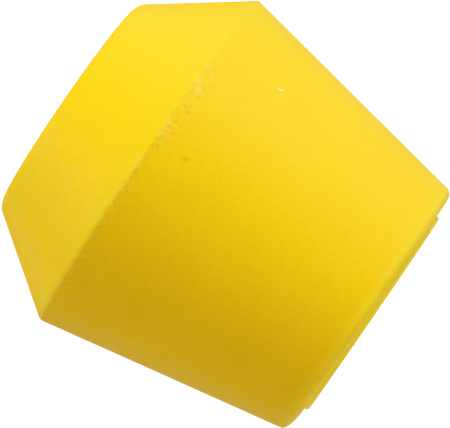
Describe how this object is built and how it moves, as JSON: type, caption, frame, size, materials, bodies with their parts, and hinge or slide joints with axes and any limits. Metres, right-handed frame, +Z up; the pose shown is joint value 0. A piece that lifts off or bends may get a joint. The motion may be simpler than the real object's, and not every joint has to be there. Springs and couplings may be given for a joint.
{
  "type": "raised pavement marker",
  "caption": "Plug-set raised pavement marker: a bevelled crown on a tapered round shank that sits in a cored hole, with a threaded anchor insert in its base.",
  "frame": {"origin": "centre of the seat's underside, which the marker stands on", "axes": "+Z up along the axis of the round form, through the crown; +Y through one of the three plug screws"},
  "size_m": [0.05, 0.05, 0.0478],
  "materials": {
    "shank_body": "moulded yellow polymer, soft sheen, fine pits below the ridge",
    "crown_cap": "moulded yellow polymer, soft sheen",
    "crown_seal": "black rubber",
    "base_plug": "moulded yellow polymer, soft sheen",
    "plug_seal": "black rubber",
    "insert_seal": "black rubber",
    "plug_screws": "plated steel",
    "anchor_insert": "turned and plated steel",
    "spreader_plate": "blanked steel sheet",
    "filler_core": "cast resin and sand"
  },
  "bodies": {
    "root": {"shank_body": "shank_body", "crown_cap": "crown_cap", "crown_seal": "crown_seal", "base_plug": "base_plug", "plug_seal": "plug_seal", "insert_seal": "insert_seal", "plug_screws": "plug_screws", "anchor_insert": "anchor_insert", "spreader_plate": "spreader_plate", "filler_core": "filler_core"}
  },
  "joints": []
}
